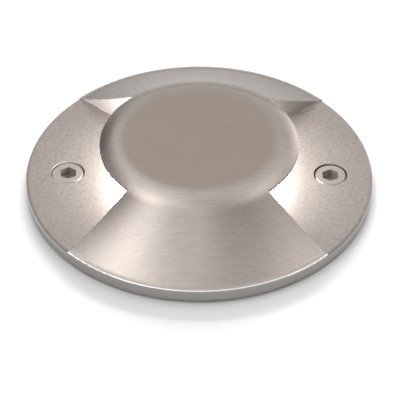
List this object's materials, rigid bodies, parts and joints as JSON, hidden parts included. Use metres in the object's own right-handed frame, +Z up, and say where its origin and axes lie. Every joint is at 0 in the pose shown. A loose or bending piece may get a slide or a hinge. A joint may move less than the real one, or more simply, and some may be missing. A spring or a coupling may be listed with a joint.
{
  "type": "recessed outdoor light",
  "caption": "Round in-ground walk-over light: steel cover with a raised dome and two lit side pockets, sealed lamp insert, and ground sleeve.",
  "frame": {"origin": "centre of the cover's underside, at ground level, which is also the top of the ground sleeve", "axes": "+Z up out of the ground, X through the two lit pockets and the cover's screws, Y through the ramps"},
  "size_m": [0.11, 0.11, 0.118],
  "materials": {
    "cover_steel": "brushed top and ramps, as-cast pockets",
    "screw_steel": "satin stainless",
    "nylon": "natural nylon",
    "seal_rubber": "matte black",
    "lens_glass": "frosted, lit from inside",
    "clamp_steel": "stamped stainless",
    "fixing_steel": "zinc plated",
    "cast_aluminium": "die cast, powder coated grey",
    "bright_aluminium": "polished",
    "bracket_steel": "zinc plated sheet",
    "holder_ceramic": "glazed steatite",
    "contact_brass": "plain",
    "lamp_glass": "frosted",
    "lamp_plastic": "smooth white",
    "lamp_pin_metal": "nickel plated",
    "board": "white circuit board",
    "terminal_plastic": "natural polyamide",
    "lead_brown": "silicone insulation",
    "lead_blue": "silicone insulation",
    "gland_plastic": "black polyamide",
    "breather_plastic": "black polyamide",
    "sleeve_plastic": "black polypropylene, moulded",
    "plug_rubber": "matte black"
  },
  "bodies": {
    "sleeve": {"ground_sleeve": "sleeve_plastic", "seat_ring": "sleeve_plastic", "brass_inserts": "contact_brass", "conduit_sockets": "sleeve_plastic", "blanking_plug": "plug_rubber"},
    "insert": {"lamp_housing": "cast_aluminium", "seat_gasket": "seal_rubber", "lens": "lens_glass", "lens_gasket": "seal_rubber", "clamp_ring": "clamp_steel", "clamp_ring_screws": "fixing_steel", "reflector": "bright_aluminium", "holder_bracket": "bracket_steel", "bracket_screws": "fixing_steel", "holder_screws": "fixing_steel", "lamp_holder": "holder_ceramic", "holder_contacts": "contact_brass", "lamp_envelope": "lamp_glass", "lamp_base": "lamp_plastic", "lamp_pins": "lamp_pin_metal", "led_board": "board", "terminal_block": "terminal_plastic", "terminal_screws": "contact_brass", "terminal_block_screw": "fixing_steel", "earth_screw": "contact_brass", "line_lead": "lead_brown", "neutral_lead": "lead_blue", "gland_body": "gland_plastic", "gland_locknut": "gland_plastic", "gland_washer": "seal_rubber", "gland_seal": "seal_rubber", "gland_nut": "gland_plastic", "breather_plug": "breather_plastic"},
    "cover": {"cover": "cover_steel", "screw_washers": "nylon", "captive_rings": "nylon"},
    "screw_left": {"cover_screw_left": "screw_steel"},
    "screw_right": {"cover_screw_right": "screw_steel"}
  },
  "joints": [
    {"name": "insert_lift", "type": "slide", "parent": "sleeve", "child": "insert", "axis": [0, 0, 1], "range_m": [0, 0.11]},
    {"name": "cover_lift", "type": "slide", "parent": "insert", "child": "cover", "axis": [0, 0, 1], "range_m": [0, 0.06]},
    {"name": "screw_left_turn", "type": "hinge", "parent": "cover", "child": "screw_left", "pos_m": [-0.0417, 0, 0], "axis": [0, 0, 1], "continuous": true},
    {"name": "screw_right_turn", "type": "hinge", "parent": "cover", "child": "screw_right", "pos_m": [0.0417, 0, 0], "axis": [0, 0, 1], "continuous": true}
  ]
}
